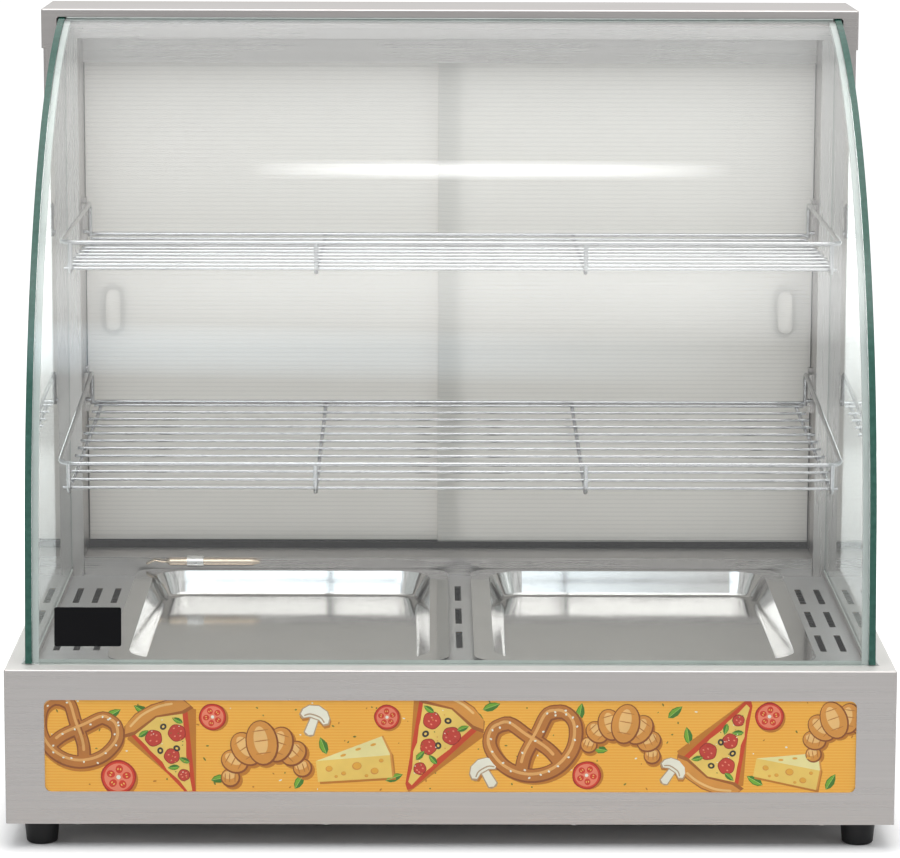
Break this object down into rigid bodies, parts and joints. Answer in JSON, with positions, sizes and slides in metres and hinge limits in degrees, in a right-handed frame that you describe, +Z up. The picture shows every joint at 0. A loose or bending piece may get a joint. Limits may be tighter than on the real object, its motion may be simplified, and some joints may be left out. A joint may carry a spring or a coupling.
{
  "type": "heated display case",
  "caption": "Counter-top heated display case with a bent glass front, lift-out food pans, hung wire shelves, sliding rear doors and a printed front panel.",
  "frame": {"origin": "centre of the bounding box's underside, on the floor under the feet", "axes": "+X to the right as seen from the customer's side, -Y towards the customer (the bent glass), +Y towards the sliding doors and controls, +Z up"},
  "size_m": [0.66, 0.475, 0.599],
  "materials": {
    "steel": "brushed",
    "inner_steel": "plain sheet",
    "pan_steel": "polished",
    "wire": "bright",
    "fastener": "plain",
    "glass": "clear",
    "silicone": "clear silicone",
    "black_rubber": "matt",
    "black_plastic": "satin",
    "grey_plastic": "satin",
    "white_plastic": "satin",
    "print": "printed acrylic",
    "door_sheet": "frosted",
    "badge": "black",
    "sensor_metal": "plain",
    "lamp_metal": "anodised",
    "element": "heat darkened",
    "dial": "printed",
    "lamp_lens": "clear red"
  },
  "bodies": {
    "case": {"base_housing": "steel", "bottom_panel": "inner_steel", "bottom_screws": "fastener", "rubber_feet": "black_rubber", "foot_screws": "fastener", "foot_nuts": "fastener", "print_panel": "print", "print_holders": "inner_steel", "deck_plate": "steel", "rear_sill": "steel", "post_left": "steel", "post_right": "steel", "top_cap": "steel", "cap_screws": "fastener", "lamp_housing": "steel", "lamp_bar": "lamp_metal", "lamp_strip": "white_plastic", "lamp_diffuser": "white_plastic", "lamp_clips": "fastener", "glass_clips": "steel", "side_glass_left": "glass", "side_glass_right": "glass", "front_glass": "glass", "corner_seals": "silicone", "glass_seals": "silicone", "top_gasket": "black_rubber", "badge_plate": "badge", "lower_track": "black_plastic", "door_rail": "steel", "rail_liner": "grey_plastic", "shelf_hangers": "steel", "hanger_rivets": "fastener", "thermostat_bulb": "sensor_metal", "capillary_tube": "sensor_metal", "bulb_clip": "fastener", "thermostat_body": "white_plastic", "dial_plate": "dial", "rocker_switches": "black_plastic", "indicator_lamps": "lamp_lens", "cable_gland": "black_plastic", "terminal_block": "white_plastic", "earth_stud": "fastener", "heater_left": "element", "heater_right": "element", "heater_brackets": "fastener", "heat_shield": "inner_steel", "rear_panel": "steel", "rear_panel_screws": "fastener"},
    "door_left": {"door_left": "door_sheet", "finger_pull_left": "grey_plastic"},
    "door_right": {"door_right": "door_sheet", "finger_pull_right": "grey_plastic"},
    "pan_left": {"food_pan_left": "pan_steel"},
    "pan_right": {"food_pan_right": "pan_steel"},
    "upper_shelf": {"upper_shelf": "wire"},
    "lower_shelf": {"lower_shelf": "wire"},
    "thermostat_control": {"thermostat_knob": "black_plastic", "thermostat_shaft": "fastener"},
    "power_rocker": {"power_rocker": "black_plastic"},
    "light_rocker": {"light_rocker": "black_plastic"}
  },
  "joints": [
    {"name": "door_left_slide", "type": "slide", "parent": "case", "child": "door_left", "axis": [1, 0, 0], "range_m": [0, 0.285]},
    {"name": "door_right_slide", "type": "slide", "parent": "case", "child": "door_right", "axis": [-1, 0, 0], "range_m": [0, 0.285]},
    {"name": "pan_left_tilt", "type": "hinge", "parent": "case", "child": "pan_left", "pos_m": [-0.1287, 0.124, 0.137], "axis": [-1, 0, 0], "range_deg": [0, 15]},
    {"name": "pan_right_lift", "type": "slide", "parent": "case", "child": "pan_right", "axis": [0, 0, 1], "range_m": [0, 0.048]},
    {"name": "upper_shelf_lift", "type": "slide", "parent": "case", "child": "upper_shelf", "axis": [0, 0, 1], "range_m": [0, 0.0075]},
    {"name": "lower_shelf_lift", "type": "slide", "parent": "case", "child": "lower_shelf", "axis": [0, 0, 1], "range_m": [0, 0.0075]},
    {"name": "thermostat_turn", "type": "hinge", "parent": "case", "child": "thermostat_control", "pos_m": [0.15, 0.23, 0.092], "axis": [0, -1, 0], "range_deg": [0, 300]},
    {"name": "power_switch_rock", "type": "hinge", "parent": "case", "child": "power_rocker", "pos_m": [0, 0.2135, 0.092], "axis": [-1, 0, 0], "range_deg": [0, 20]},
    {"name": "light_switch_rock", "type": "hinge", "parent": "case", "child": "light_rocker", "pos_m": [0.045, 0.2135, 0.092], "axis": [-1, 0, 0], "range_deg": [0, 20]}
  ]
}
